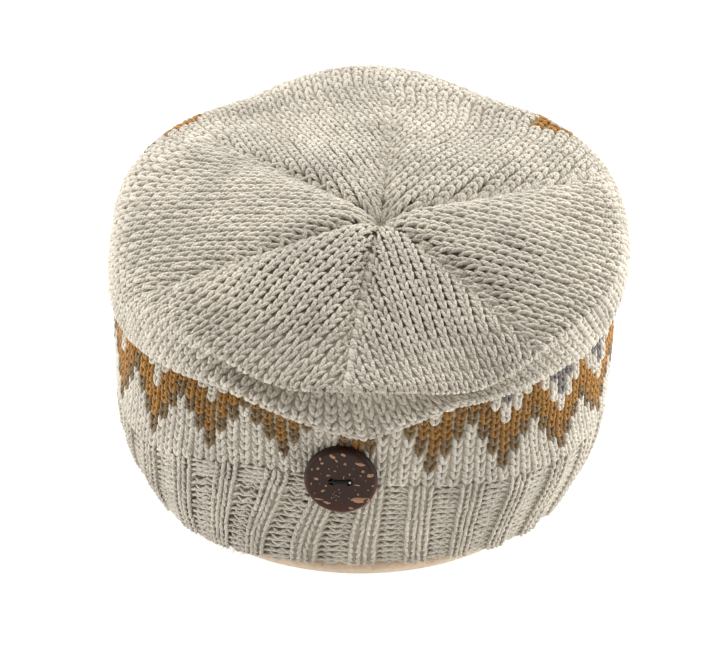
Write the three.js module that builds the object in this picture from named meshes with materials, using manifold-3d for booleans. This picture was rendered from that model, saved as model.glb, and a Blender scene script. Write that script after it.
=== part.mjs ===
import * as THREE from "three";
import Module from "manifold-3d";
import { mergeVertices } from "three/addons/utils/BufferGeometryUtils.js";

// Slouch hat lying on its ribbed opening. Millimetres, +Z up, the button at the front faces -Y.
// Azimuth runs from the front (0) towards +X. "Fabric" is the distance along the knit from the cast-on edge.

// Driving sizes
const knitThickness = 2.4;
const gap = 0.35;
const ribHeight = 38;
const crownCentreFabric = 246;
const ribRepeats = 30;
const ribRelief = { knit: 0.5, purl: -0.9 };
const ribFirst = -6;
const ribFan = { centre: -3, half: 28, foot: 0.28, top: -0.12 };
const liningColumns = 48;
const firstColumn = -3;
const liningThickness = 2.8;
const liningGap = 0.55;
const liningTopFabric = 21;
const valleyDepth = 1.3;
const valleyHalfWidth = 3.4;
const footTurn = -4.5;

// Outer face of the knit, one row per height. The five columns are front, front side, side, back side, back.
const wallRows = [
  { name: "foot", fabric: [0, 0, 0, 0, 0], shift: [-0.5, 0],
    radius: [78, 80.5, 78.5, 79.5, 79.5], height: [5.5, 1.5, 1, 1, 1] },
  { name: "rib_mid", fabric: [19, 19, 19, 19, 19], shift: [-0.5, 0],
    radius: [81.5, 85.5, 86.5, 87, 87], height: [24.5, 18, 15, 15, 15] },
  { name: "rib_top", fabric: [38, 38, 38, 38, 38], shift: [0, 0],
    radius: [84.5, 88.5, 89, 90, 90], height: [44, 36, 33, 33, 33] },
  { name: "wall_low", fabric: [70, 70, 70, 70, 70], shift: [1, 0],
    radius: [86.8, 89.2, 89.6, 96.5, 99.5], height: [73, 66, 63, 59, 58] },
  { name: "wall_mid", fabric: [82, 84, 86, 88, 88], shift: [1.5, 0],
    radius: [86.6, 88, 88.2, 100.5, 105], height: [78, 75.5, 74.5, 74, 74] },
  { name: "wall_high", fabric: [90, 92, 93, 113, 117.5], shift: [1.5, 0],
    radius: [86, 87.2, 87.6, 99.5, 106], height: [81.2, 80, 79.5, 92.5, 95] },
  { name: "wall_top", fabric: [96, 98, 99, 129.5, 135], shift: [2, -1],
    radius: [85.5, 86.5, 87, 96, 101.2], height: [83.8, 83.2, 84, 103.5, 106] },
  { name: "tuck", fabric: [100, 102, 104, 139, 144.5], shift: [2, -2],
    radius: [85.3, 86, 86.6, 93.6, 94.8], height: [85.2, 84.8, 87, 107.2, 109.8] },
];
const crownRows = [
  { name: "edge_low", fabric: [140, 139, 138, 139.4, 144.9], shift: [2, -2],
    radius: [88.6, 88.8, 89.8, 93.4, 94.5], height: [81.6, 79.4, 78.3, 107.3, 109.9] },
  { name: "edge", fabric: [143, 142, 141, 143.5, 148], shift: [2, -3],
    radius: [90.5, 90.6, 91.3, 92.1, 91.8], height: [82.2, 79.9, 79.2, 108.2, 110.8] },
  { name: "lip", fabric: [148, 148, 148, 150, 152.5], shift: [2.5, -4],
    radius: [91.5, 91.4, 91.8, 90.5, 87], height: [84.8, 83.3, 83, 109, 111.4] },
  { name: "crease", fabric: [158, 158, 158, 158, 158], shift: [3, -8],
    radius: [81.7, 86.4, 89.2, 86.8, 83.8], height: [88.4, 91.6, 93.5, 109.5, 111.9] },
  { name: "rim", fabric: [166, 166, 166, 166, 166], shift: [5, -13],
    radius: [82.7, 80.9, 83, 79.6, 78], height: [92.4, 96.4, 100, 110, 112] },
  { name: "shoulder", fabric: [184, 184, 184, 184, 184], shift: [6.5, -16],
    radius: [61.5, 61, 62, 61, 61], height: [96.5, 101, 105, 110, 111.5] },
  { name: "top", fabric: [208, 208, 208, 208, 208], shift: [6.5, -16],
    radius: [38, 38, 38, 38, 38], height: [102.5, 105, 107, 109, 110] },
  { name: "inner", fabric: [232, 232, 232, 232, 232], shift: [6.5, -16],
    radius: [14, 14, 14, 14, 14], height: [107, 107.5, 108, 108.5, 109] },
  { name: "centre", fabric: [246, 246, 246, 246, 246], shift: [6.5, -16],
    radius: [0, 0, 0, 0, 0], height: [105, 105, 105, 105, 105] },
];
// Visible lower lip of the lining, below the foot of the ribs
const liningRows = [
  { name: "floor", radius: [77.6, 77.5, 75.4, 76.2, 76.2], height: [0, 0, 0, 0, 0] },
  { name: "bulge_low", radius: [78.3, 77.7, 75.6, 76.3, 76.3], height: [2.4, 0.8, 0.5, 0.5, 0.5] },
  { name: "bulge_high", radius: [77.9, 77.8, 75.8, 76.5, 76.5], height: [4.6, 1.5, 1.2, 1.2, 1.2] },
];
// Pointed flap hanging from the crown's edge over the button
const flap = { tip: -0.6, left: -31.5, right: 18 };
const flapRows = { edge_low: [89.6, 70.9], edge: [91.6, 71.3], lip: [90, 75.4] };
// Where the wall stops reaching up behind the crown's lip, in degrees from the front
const lap = { deep: 3.2, start: 90, over: 118, end: 138, front: 30 };
// Six lines of decreases: azimuths where they lie on the crown
const lineAzimuths = [-10, 40.5, 112.5, 176.5, 229, 294.5];
const wedgeShares = [0, 0.06, 0.16, 0.29, 0.43, 0.57, 0.71, 0.84, 0.94];
// Dents and swellings: centre and half width in degrees, push inwards and down, share of it in each row
const localForms = [
  { name: "back_right_dip", at: 150, half: 20, inwards: 5, down: 6,
    share: { wall_mid: 0.3, wall_high: 0.7, wall_top: 0.9, tuck: 1, edge_low: 1, edge: 1,
      lip: 1, crease: 1, rim: 0.8, shoulder: 0.4 } },
  { name: "back_left_dip", at: -150, half: 20, inwards: 5, down: 6,
    share: { wall_mid: 0.3, wall_high: 0.7, wall_top: 0.9, tuck: 1, edge_low: 1, edge: 1,
      lip: 1, crease: 1, rim: 0.8, shoulder: 0.4 } },
  { name: "right_lift", at: 88, half: 27, inwards: 0.4, down: -10,
    share: { wall_mid: 0.1, wall_high: 0.4, wall_top: 0.6, tuck: 0.6, edge_low: 1,
      edge: 1, lip: 0.9, crease: 0.3 } },
  { name: "front_drop", at: 25, half: 14, inwards: -1.4, down: 4.4,
    share: { crease: 1, rim: 1, lip: 0.5, edge: 0.4, edge_low: 0.4 } },
  { name: "left_fold", at: -24, half: 12, inwards: 3.2, down: 3.2,
    share: { crease: 1 } },
  { name: "left_bulge", at: -24, half: 14, inwards: -1.4, down: 3.6,
    share: { rim: 1, shoulder: 0.2 } },
  { name: "left_corner", at: -114, half: 15, inwards: -3.5, down: 0,
    share: { tuck: 0.4, edge_low: 0.8, edge: 0.9, lip: 1, crease: 1, rim: 0.6 } },
  { name: "right_corner", at: 114, half: 15, inwards: -1.5, down: 0,
    share: { tuck: 0.4, edge_low: 0.8, edge: 0.9, lip: 1, crease: 1, rim: 0.6 } },
];
// Button and its thread
const button = { azimuth: -4.6, height: 50, back: 86.4, radius: 12.5, thickness: 4.3, edge: 1.3 };
const buttonHole = { offset: 2.8, radius: 1.35 };
const thread = { length: 7.4, width: 2, thickness: 0.8, legRadius: 0.85 };

const radians = (degrees) => degrees * Math.PI / 180;
const clamp = (x, low, high) => Math.min(Math.max(x, low), high);
const smooth = (x) => {
  const c = clamp(x, 0, 1);
  return c * c * (3 - 2 * c);
};
const signed = (degrees) => ((degrees + 180) % 360 + 360) % 360 - 180;

// Smooth value between the five columns: a cosine series through them
function cosineSeries(values) {
  const weights = [0.5, 1, 1, 1, 0.5];
  return values.map((_, j) => {
    let sum = 0;
    for (let i = 0; i < values.length; i++) {
      sum += weights[i] * values[i] * Math.cos(Math.PI * j * i / 4);
    }
    const end = j === 0 || j === values.length - 1;
    return sum * (end ? 0.25 : 0.5);
  });
}
const seriesAt = (series, azimuth) => series.reduce((sum, c, j) => sum + c * Math.cos(j * radians(azimuth)), 0);

function prepare(rows) {
  return rows.map((row) => ({
    name: row.name,
    shift: row.shift ?? wallRows[0].shift,
    fabric: cosineSeries(row.fabric ?? [0, 0, 0, 0, 0]),
    radius: cosineSeries(row.radius),
    height: cosineSeries(row.height),
  }));
}
const wall = prepare(wallRows);
const crown = prepare(crownRows);
const lining = prepare(liningRows);

function flapWeight(azimuth) {
  const d = signed(azimuth);
  const rise = Math.min((d - flap.left) / (flap.tip - flap.left), (flap.right - d) / (flap.right - flap.tip));
  return clamp(rise, 0, 1);
}

// One row of a table at an azimuth: fabric, radius, height and shift
function rowAt(row, azimuth, isCrown) {
  let radius = seriesAt(row.radius, azimuth);
  let height = seriesAt(row.height, azimuth);
  if (isCrown && flapRows[row.name]) {
    const w = flapWeight(azimuth);
    radius += (flapRows[row.name][0] - radius) * w;
    height += (flapRows[row.name][1] - height) * w;
  }
  for (const form of localForms) {
    const share = form.share[row.name] ?? 0;
    const g = share * Math.exp(-((signed(azimuth - form.at) / form.half) ** 2));
    radius -= form.inwards * g;
    height -= form.down * g;
  }
  return { fabric: seriesAt(row.fabric, azimuth), radius, height, shift: row.shift };
}

// Smooth curve through the rows, at a fabric distance
function pointOn(rows, azimuth, fabric) {
  const at = rows.map((row) => rowAt(row, azimuth, rows === crown));
  let i = 0;
  while (i < at.length - 2 && at[i + 1].fabric <= fabric) {
    i++;
  }
  const f = clamp((fabric - at[i].fabric) / (at[i + 1].fabric - at[i].fabric), 0, 1);
  const around = [at[Math.max(i - 1, 0)], at[i], at[i + 1], at[Math.min(i + 2, at.length - 1)]];
  const curve = (pick) => {
    const [a, b, c, d] = around.map(pick);
    const slopeB = (c - a) / 2;
    const slopeC = (d - b) / 2;
    return (2 * f ** 3 - 3 * f ** 2 + 1) * b + (f ** 3 - 2 * f ** 2 + f) * slopeB
      + (3 * f ** 2 - 2 * f ** 3) * c + (f ** 3 - f ** 2) * slopeC;
  };
  const radius = curve((row) => row.radius);
  return new THREE.Vector3(
    radius * Math.sin(radians(azimuth)) + curve((row) => row.shift[0]),
    -radius * Math.cos(radians(azimuth)) + curve((row) => row.shift[1]),
    curve((row) => row.height),
  );
}

// Point with its outward normal and the direction up along the knit
function frameOn(rows, azimuth, fabric) {
  const step = 0.06;
  const point = pointOn(rows, azimuth, fabric);
  const around = pointOn(rows, azimuth + step, fabric).sub(pointOn(rows, azimuth - step, fabric));
  const along = pointOn(rows, azimuth, fabric + 0.2).sub(pointOn(rows, azimuth, fabric - 0.2));
  const normal = new THREE.Vector3().crossVectors(around, along).normalize();
  return { point, normal, along: along.normalize() };
}
const offset = (frame, out, up = 0) => frame.point.clone()
  .addScaledVector(frame.normal, out)
  .addScaledVector(frame.along, up);

// How the top of the wall and the crown's lip meet at an azimuth
function jointAt(azimuth) {
  const side = Math.abs(signed(azimuth));
  const single = smooth((side - lap.start) / (lap.over - lap.start));
  const butted = smooth((side - lap.over) / (lap.end - lap.over));
  const top = seriesAt(wall[wall.length - 1].fabric, azimuth) - 0.01;
  return { single, butted, top };
}

// Three inner corners of the crown round the top of the wall
function crownCorners(azimuth) {
  const { single, butted, top } = jointAt(azimuth);
  const low = frameOn(wall, azimuth, top - lap.deep * (1 - single));
  const high = frameOn(wall, azimuth, top);
  return [
    offset(low, gap * (1 - butted) - 0.8 * butted, gap * single),
    offset(high, gap * (1 - single) - 0.45 * single - 1.1 * butted, gap),
    offset(high, -knitThickness, gap),
  ];
}

// Keeps the crown's first outer points clear of the top of the wall
function clearOfWall(point, azimuth, k) {
  const { single, butted, top } = jointAt(azimuth);
  const high = frameOn(wall, azimuth, top);
  const along = point.clone().sub(high.point).dot(high.along);
  const out = point.clone().sub(high.point).dot(high.normal);
  const needed = (gap + 0.5 * k) * single - lap.front * (1 - single);
  point.addScaledVector(high.along, Math.max(needed - along, 0));
  if (k < 2 && single > 0) {
    const least = gap * (1 - butted) + 1.2 * single * (1 - butted) - 0.1 * k * single;
    point.addScaledVector(high.normal, Math.max(least - out, 0) * single);
  }
  return point;
}

function valleyAt(azimuth, fabric) {
  let deepest = 0;
  for (const line of lineAzimuths) {
    const g = Math.exp(-((signed(azimuth - line) / valleyHalfWidth) ** 2));
    deepest = Math.max(deepest, g);
  }
  return valleyDepth * deepest * smooth((fabric - 158) / 14) * smooth((crownCentreFabric - fabric) / 30);
}

// Closed body from sections: columns run round the hat, each a list of points from the foot up and back down
function bodyFromSections(sections, poles) {
  const positions = [];
  const faces = [];
  const rows = sections[0].length;
  const columns = sections.length;
  sections.forEach((section) => section.forEach((p) => positions.push(p.x, p.y, p.z)));
  const index = (i, j) => (i % columns) * rows + (j % rows);
  const lastRow = poles ? rows - 1 : rows;
  for (let i = 0; i < columns; i++) {
    for (let j = 0; j < lastRow; j++) {
      faces.push(index(i, j), index(i + 1, j), index(i + 1, j + 1));
      faces.push(index(i, j), index(i + 1, j + 1), index(i, j + 1));
    }
  }
  if (poles) {
    const first = positions.length / 3;
    poles.forEach((p) => positions.push(p.x, p.y, p.z));
    for (let i = 0; i < columns; i++) {
      faces.push(index(i, rows - 1), index(i + 1, rows - 1), first + 1);
      faces.push(index(i + 1, 0), index(i, 0), first);
    }
  }
  const geometry = new THREE.BufferGeometry();
  geometry.setAttribute("position", new THREE.Float32BufferAttribute(positions, 3));
  geometry.setIndex(faces);
  return geometry;
}

const spread = (low, high, shares) => shares.map((s) => low + (high - low) * s);

// Columns of the wall and the crown, close together beside each line of decreases
const wedgeColumns = lineAzimuths.flatMap((line, k) => {
  const next = lineAzimuths[(k + 1) % lineAzimuths.length] + (k === lineAzimuths.length - 1 ? 360 : 0);
  return spread(line, next, wedgeShares);
});

// Where a rib column lies: the foot is turned, and the columns gather at the button
function ribAzimuth(column, fabric) {
  const up = smooth(fabric / ribHeight);
  const d = signed(column - ribFan.centre);
  const gather = d * Math.exp(-((d / ribFan.half) ** 2)) * (ribFan.foot * (1 - up) + ribFan.top * up);
  return column + footTurn * smooth((ribHeight - fabric) / ribHeight) + gather;
}

// Ribbed band: two knit columns stand out and two purl columns lie back in each repeat
function ribBand() {
  const outerFabric = [0.1, 8, 16, 24, 31, ribHeight - 0.15];
  const innerFabric = [ribHeight - 0.15, 24, 12, 0.1];
  const { knit, purl } = ribRelief;
  const crossings = [[-5.4, knit], [-0.6, knit], [0.7, purl], [5.3, purl]];
  const sections = [];
  for (let repeat = 0; repeat < ribRepeats; repeat++) {
    for (const [degrees, relief] of crossings) {
      const column = ribFirst + repeat * 360 / ribRepeats + degrees;
      const turned = (fabric) => ribAzimuth(column, fabric);
      const outer = outerFabric.map((f) => offset(frameOn(wall, turned(f), f), relief));
      const inner = innerFabric.map((f) => offset(frameOn(wall, turned(f), f), -knitThickness));
      sections.push([...outer, ...inner]);
    }
  }
  return bodyFromSections(sections);
}

function sideWall() {
  const shares = [0, 0.13, 0.27, 0.41, 0.55, 0.68, 0.79, 0.88, 0.95, 1];
  const sections = wedgeColumns.map((azimuth) => {
    const frames = spread(ribHeight + 0.15, jointAt(azimuth).top, shares).map((f) => frameOn(wall, azimuth, f));
    const outer = frames.map((frame) => offset(frame, 0));
    const inner = frames.map((frame) => offset(frame, -knitThickness)).reverse();
    return [...outer, ...inner];
  });
  return bodyFromSections(sections);
}

function crownBody() {
  const startShares = [0, 0.2, 0.4, 0.6, 0.8, 1];
  const outerFabric = [158, 162, 166, 172, 178, 184, 192, 200, 208, 216, 224, 232, 239];
  const innerFabric = [239, 232, 224, 216, 208, 200, 192, 184, 178, 172];
  const sections = wedgeColumns.map((azimuth) => {
    const start = seriesAt(crown[0].fabric, azimuth);
    const low = spread(start, 155, startShares).map((f, i) => {
      const point = pointOn(crown, azimuth, f);
      return i < 3 ? clearOfWall(point, azimuth, i) : point;
    });
    const outer = outerFabric.map((f) => offset(frameOn(crown, azimuth, f), -valleyAt(azimuth, f)));
    const inner = innerFabric.map((f) => offset(frameOn(crown, azimuth, f), -knitThickness - valleyAt(azimuth, f)));
    return [...inner, ...crownCorners(azimuth).reverse(), ...low, ...outer];
  });
  const centre = crownRows[crownRows.length - 1];
  const top = new THREE.Vector3(centre.shift[0], centre.shift[1], centre.height[0]);
  const under = top.clone().setZ(centre.height[0] - knitThickness);
  return bodyFromSections(sections, [under, top]);
}

function liningBand() {
  const outside = knitThickness + liningGap;
  const fabricUp = [0, 6, 13, liningTopFabric];
  const sections = [];
  for (let i = 0; i < liningColumns; i++) {
    const azimuth = firstColumn + i * 360 / liningColumns;
    const lip = lining.map((row) => {
      const at = rowAt(row, azimuth, false);
      return new THREE.Vector3(
        at.radius * Math.sin(radians(azimuth)) + at.shift[0],
        -at.radius * Math.cos(radians(azimuth)) + at.shift[1],
        at.height,
      );
    });
    const frames = fabricUp.map((f) => frameOn(wall, azimuth, f));
    const outer = frames.map((frame) => offset(frame, -outside));
    const inner = frames.slice(1).map((frame) => offset(frame, -outside - liningThickness)).reverse();
    const inwards = new THREE.Vector3(-Math.sin(radians(azimuth)), Math.cos(radians(azimuth)), 0);
    const heel = lip[0].clone().addScaledVector(inwards, liningThickness);
    sections.push([...lip, ...outer, ...inner, heel]);
  }
  return bodyFromSections(sections);
}

const wasm = await Module();
wasm.setup();
function toManifold(geometry) {
  const plain = geometry.clone();
  plain.deleteAttribute("normal");
  plain.deleteAttribute("uv");
  const merged = mergeVertices(plain, 1e-4);
  return new wasm.Manifold(new wasm.Mesh({
    numProp: 3,
    vertProperties: new Float32Array(merged.attributes.position.array),
    triVerts: new Uint32Array(merged.index.array),
  }));
}
function fromManifold(solid) {
  const mesh = solid.getMesh();
  const geometry = new THREE.BufferGeometry();
  geometry.setAttribute("position", new THREE.Float32BufferAttribute(Array.from(mesh.vertProperties), 3));
  geometry.setIndex(Array.from(mesh.triVerts));
  return geometry;
}

// The button's own frame: back at the origin, face towards +Z, holes side by side along X
const buttonTurn = new THREE.Matrix4()
  .makeRotationZ(radians(button.azimuth))
  .multiply(new THREE.Matrix4().makeRotationX(radians(90)));
const buttonPlace = new THREE.Matrix4()
  .makeTranslation(
    button.back * Math.sin(radians(button.azimuth)),
    -button.back * Math.cos(radians(button.azimuth)),
    button.height,
  )
  .multiply(buttonTurn);

function buttonBody() {
  const { radius, thickness, edge } = button;
  const profile = [
    [0, 0], [radius - edge, 0], [radius - 0.35, edge * 0.4], [radius, edge * 1.1], [radius, thickness - edge * 1.1],
    [radius - 0.35, thickness - edge * 0.4], [radius - edge, thickness], [0, thickness - 0.2],
  ].map(([r, z]) => new THREE.Vector2(r, z));
  const disc = new THREE.LatheGeometry(profile, 48).rotateX(radians(90));
  let solid = toManifold(disc);
  for (const side of [-1, 1]) {
    const hole = new THREE.CylinderGeometry(buttonHole.radius, buttonHole.radius, thickness * 3, 24)
      .rotateX(radians(90))
      .translate(side * buttonHole.offset, 0, thickness / 2);
    solid = solid.subtract(toManifold(hole));
  }
  return fromManifold(solid).applyMatrix4(buttonPlace);
}

function threadBody() {
  const { length, width, thickness, legRadius } = thread;
  const face = button.thickness + 0.1;
  const bar = new THREE.CapsuleGeometry(width / 2, length - width, 4, 16)
    .rotateZ(radians(90))
    .scale(1, 1, thickness / width)
    .translate(0, 0, face + gap / 2 + thickness / 2);
  let solid = toManifold(bar);
  for (const side of [-1, 1]) {
    const leg = new THREE.CylinderGeometry(legRadius, legRadius, face + thickness / 2, 16)
      .rotateX(radians(90))
      .translate(side * buttonHole.offset, 0, (face + thickness) / 2);
    solid = solid.add(toManifold(leg));
  }
  return fromManifold(solid).applyMatrix4(buttonPlace);
}

const pieces = [
  { name: "rib_band", geometry: ribBand(), color: 0xcfc6b8, roughness: 0.95 },
  { name: "side_wall", geometry: sideWall(), color: 0xc0985f, roughness: 0.95 },
  { name: "crown", geometry: crownBody(), color: 0xd6cec2, roughness: 0.95 },
  { name: "lining_band", geometry: liningBand(), color: 0xd9bb93, roughness: 1 },
  { name: "button", geometry: buttonBody(), color: 0x4f3a33, roughness: 0.5 },
  { name: "button_thread", geometry: threadBody(), color: 0x1c1a1a, roughness: 0.7 },
];

// The origin is the middle of the outline on the floor
const whole = new THREE.Box3();
for (const { geometry } of pieces) {
  geometry.computeBoundingBox();
  whole.union(geometry.boundingBox);
}
const middle = whole.getCenter(new THREE.Vector3());

const group = new THREE.Group();
group.name = "slouch_hat";
for (const { name, geometry, color, roughness } of pieces) {
  geometry.translate(-middle.x, -middle.y, -whole.min.z);
  const material = new THREE.MeshStandardMaterial({ color, roughness, metalness: 0, flatShading: true });
  material.name = name;
  const mesh = new THREE.Mesh(geometry, material);
  mesh.name = name;
  group.add(mesh);
}

export default group;
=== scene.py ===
"""Looks of the slouch hat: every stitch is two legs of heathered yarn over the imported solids.

Tables and named sizes are in millimetres, and azimuths in degrees from the front.
"""
import math
import bpy
import numpy as np
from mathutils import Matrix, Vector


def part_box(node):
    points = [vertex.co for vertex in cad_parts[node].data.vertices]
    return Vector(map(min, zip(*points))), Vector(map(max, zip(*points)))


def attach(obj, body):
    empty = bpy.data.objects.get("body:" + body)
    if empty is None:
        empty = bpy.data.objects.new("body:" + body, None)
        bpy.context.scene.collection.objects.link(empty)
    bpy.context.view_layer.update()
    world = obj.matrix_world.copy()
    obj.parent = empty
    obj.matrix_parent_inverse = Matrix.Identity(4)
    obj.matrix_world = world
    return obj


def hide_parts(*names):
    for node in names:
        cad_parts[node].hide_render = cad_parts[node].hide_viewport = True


MM = 0.001
RNG = np.random.default_rng(7)

# Outer face of the knit in millimetres, as in the part's source.
# Columns: front, front side, side, back side, back.
WALL = [
    # name, fabric, shift x, shift y, radius, height
    ("foot", (0, 0, 0, 0, 0), -0.5, 0, (78, 80.5, 78.5, 79.5, 79.5), (5.5, 1.5, 1, 1, 1)),
    ("rib_mid", (19, 19, 19, 19, 19), -0.5, 0, (81.5, 85.5, 86.5, 87, 87), (24.5, 18, 15, 15, 15)),
    ("rib_top", (38, 38, 38, 38, 38), 0, 0, (84.5, 88.5, 89, 90, 90), (44, 36, 33, 33, 33)),
    ("wall_low", (70, 70, 70, 70, 70), 1, 0, (86.8, 89.2, 89.6, 96.5, 99.5), (73, 66, 63, 59, 58)),
    ("wall_mid", (82, 84, 86, 88, 88), 1.5, 0, (86.6, 88, 88.2, 100.5, 105), (78, 75.5, 74.5, 74, 74)),
    ("wall_high", (90, 92, 93, 113, 117.5), 1.5, 0, (86, 87.2, 87.6, 99.5, 106), (81.2, 80, 79.5, 92.5, 95)),
    ("wall_top", (96, 98, 99, 129.5, 135), 2, -1, (85.5, 86.5, 87, 96, 101.2), (83.8, 83.2, 84, 103.5, 106)),
    ("tuck", (100, 102, 104, 139, 144.5), 2, -2,
     (85.3, 86, 86.6, 93.6, 94.8), (85.2, 84.8, 87, 107.2, 109.8)),
]
CROWN = [
    ("edge_low", (140, 139, 138, 139.4, 144.9), 2, -2,
     (88.6, 88.8, 89.8, 93.4, 94.5), (81.6, 79.4, 78.3, 107.3, 109.9)),
    ("edge", (143, 142, 141, 143.5, 148), 2, -3,
     (90.5, 90.6, 91.3, 92.1, 91.8), (82.2, 79.9, 79.2, 108.2, 110.8)),
    ("lip", (148, 148, 148, 150, 152.5), 2.5, -4, (91.5, 91.4, 91.8, 90.5, 87), (84.8, 83.3, 83, 109, 111.4)),
    ("crease", (158, 158, 158, 158, 158), 3, -8,
     (81.7, 86.4, 89.2, 86.8, 83.8), (88.4, 91.6, 93.5, 109.5, 111.9)),
    ("rim", (166, 166, 166, 166, 166), 5, -13, (82.7, 80.9, 83, 79.6, 78), (92.4, 96.4, 100, 110, 112)),
    ("shoulder", (184, 184, 184, 184, 184), 6.5, -16, (61.5, 61, 62, 61, 61), (96.5, 101, 105, 110, 111.5)),
    ("top", (208, 208, 208, 208, 208), 6.5, -16, (38, 38, 38, 38, 38), (102.5, 105, 107, 109, 110)),
    ("inner", (232, 232, 232, 232, 232), 6.5, -16, (14, 14, 14, 14, 14), (107, 107.5, 108, 108.5, 109)),
    ("centre", (246, 246, 246, 246, 246), 6.5, -16, (0, 0, 0, 0, 0), (105, 105, 105, 105, 105)),
]
FLAP = {"tip": -0.6, "left": -31.5, "right": 18.0}
FLAP_ROWS = {"edge_low": (89.6, 70.9), "edge": (91.6, 71.3), "lip": (90, 75.4)}
BACK_DIP = {"wall_mid": 0.3, "wall_high": 0.7, "wall_top": 0.9, "tuck": 1, "edge_low": 1, "edge": 1, "lip": 1,
            "crease": 1, "rim": 0.8, "shoulder": 0.4}
BACK_CORNER = {"tuck": 0.4, "edge_low": 0.8, "edge": 0.9, "lip": 1, "crease": 1, "rim": 0.6}
FORMS = [
    # azimuth, half width, inwards, down, share by row
    (150, 20, 5, 6, BACK_DIP),
    (-150, 20, 5, 6, BACK_DIP),
    (88, 27, 0.4, -10, {"wall_mid": 0.1, "wall_high": 0.4, "wall_top": 0.6, "tuck": 0.6, "edge_low": 1,
                        "edge": 1, "lip": 0.9, "crease": 0.3}),
    (25, 14, -1.4, 4.4, {"crease": 1, "rim": 1, "lip": 0.5, "edge": 0.4, "edge_low": 0.4}),
    (-24, 12, 3.2, 3.2, {"crease": 1}),
    (-24, 14, -1.4, 3.6, {"rim": 1, "shoulder": 0.2}),
    (-114, 15, -3.5, 0, BACK_CORNER),
    (114, 15, -1.5, 0, BACK_CORNER),
]
# Where the rows lie higher or lower on the hat than the tables say: centre, half width, fabric by row
PUSHES = [
    (180, 42, {"wall_high": 2.5, "wall_top": 4, "tuck": 4.5, "edge_low": 4.5, "edge": 3.5, "lip": 2}),
    (-28, 24, {"rib_mid": -4, "rib_top": -10, "wall_low": -6, "wall_mid": -7, "wall_high": -8,
               "wall_top": -10, "tuck": -10}),
    (60, 28, {"wall_low": 11, "wall_mid": 12, "wall_high": 13, "wall_top": 14, "tuck": 14}),
]

# The lines of decreases: where they lie in the fabric, and on the hat
LINE_FABRIC = np.array([-12.0, 48.0, 108.0, 168.0, 228.0, 288.0])
LINE_AZIMUTH = np.array([-10.0, 40.5, 112.5, 176.5, 229.0, 294.5])
LINE_SLOPE = math.tan(math.pi / 6)

ROW = 3.65              # height of a row
STITCH = 4.2            # width of a stitch on the flat crown
STITCH_FULL = 4.5       # width at which a stitch has its full thickness
STITCH_TURN = 3.0       # degrees that a stitch takes on the wall and the ribs
CENTRE = 246.0          # fabric distance of the crown's centre
WEDGES = 6
WEDGE_TURN = 360 / WEDGES
HALF_WEDGE = 10         # stitches on either side of a wedge's middle
DECREASE_ROWS = 20      # rows from the centre over which the wedges narrow
CHART_START = 56        # row from the centre on which the chart's row 0 would lie
CHART_ROWS = 27
KNIT_ROWS = 57          # rows from the centre down to the ribs
PLAIN_ROWS = 34         # rows from the centre that are plain, but for the two back corners
CORNER_ROWS = 24.5      # rows from the centre beyond which the band shows at those corners
LOW_ROWS = 47           # rows from the centre at which the low part of the wall begins
RIB_ROWS = 15
RIB_TOP = 38.0          # fabric distance at which the ribs end
RIB_COLUMNS = 120
FOOT_TURN = -4.5        # degrees that the ribs lean at their foot
BUTTON = {"azimuth": -4.6, "height": 50.0, "back": 86.4, "radius": 12.5, "thickness": 4.3,
          "lean": 7.0, "stand": 0.7}
HOLE_OFFSET, HOLE_RADIUS = 2.8, 1.35
THREAD_RADIUS = 0.34
LINING_THICKNESS = 2.8
LINING_DEPTH = 2.95     # how far the lining lies behind the outer face of the knit

HARMONICS = np.arange(5)


def series(values):
    """Cosine series through the values at the front, the front side, the side, the back side and the back."""
    v = np.asarray(values, float)
    weights = np.array([0.5, 1, 1, 1, 0.5])
    c = np.array([0.5 * np.sum(weights * v * np.cos(np.pi * j * HARMONICS / 4)) for j in HARMONICS])
    c[[0, -1]] *= 0.5
    return c


def table(rows):
    return {
        "names": [r[0] for r in rows],
        "fabric": np.array([series(r[1]) for r in rows]),
        "shift": np.array([(r[2], r[3]) for r in rows], float),
        "radius": np.array([series(r[4]) for r in rows]),
        "height": np.array([series(r[5]) for r in rows]),
    }


WALL_TABLE, CROWN_TABLE = table(WALL), table(CROWN)
LINING = [
    # radius and height of the visible lower lip
    (series((77.6, 77.5, 75.4, 76.2, 76.2)), series((0, 0, 0, 0, 0))),
    (series((78.3, 77.7, 75.6, 76.3, 76.3)), series((2.4, 0.8, 0.5, 0.5, 0.5))),
    (series((77.9, 77.8, 75.8, 76.5, 76.5)), series((4.6, 1.5, 1.2, 1.2, 1.2))),
]


def smooth(x):
    x = np.clip(x, 0, 1)
    return x * x * (3 - 2 * x)


def signed(degrees):
    return (np.asarray(degrees) + 180) % 360 - 180


def bell(offset, half, power=2):
    """1 at no offset, falling off round the half width; a higher power gives a flatter top."""
    return np.exp(-(offset / half) ** power)


def away_from_front(az, start, width):
    """0 round the front, 1 at the sides and the back."""
    return smooth((np.abs(signed(az)) - start) / width)


def unit(v):
    return v / np.maximum(np.linalg.norm(v, axis=-1, keepdims=True), 1e-9)


def hermite(a, b, c, d, f):
    """Smooth curve from b to c, with a before them and d after them."""
    return ((2 * f**3 - 3 * f**2 + 1) * b + (f**3 - 2 * f**2 + f) * (c - a) / 2
            + (3 * f**2 - 2 * f**3) * c + (f**3 - f**2) * (d - b) / 2)


def curve(p, i, f):
    j = np.arange(p.shape[1])
    return hermite(p[np.maximum(i - 1, 0), j], p[i, j], p[i + 1, j], p[np.minimum(i + 2, len(p) - 1), j], f)


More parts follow.
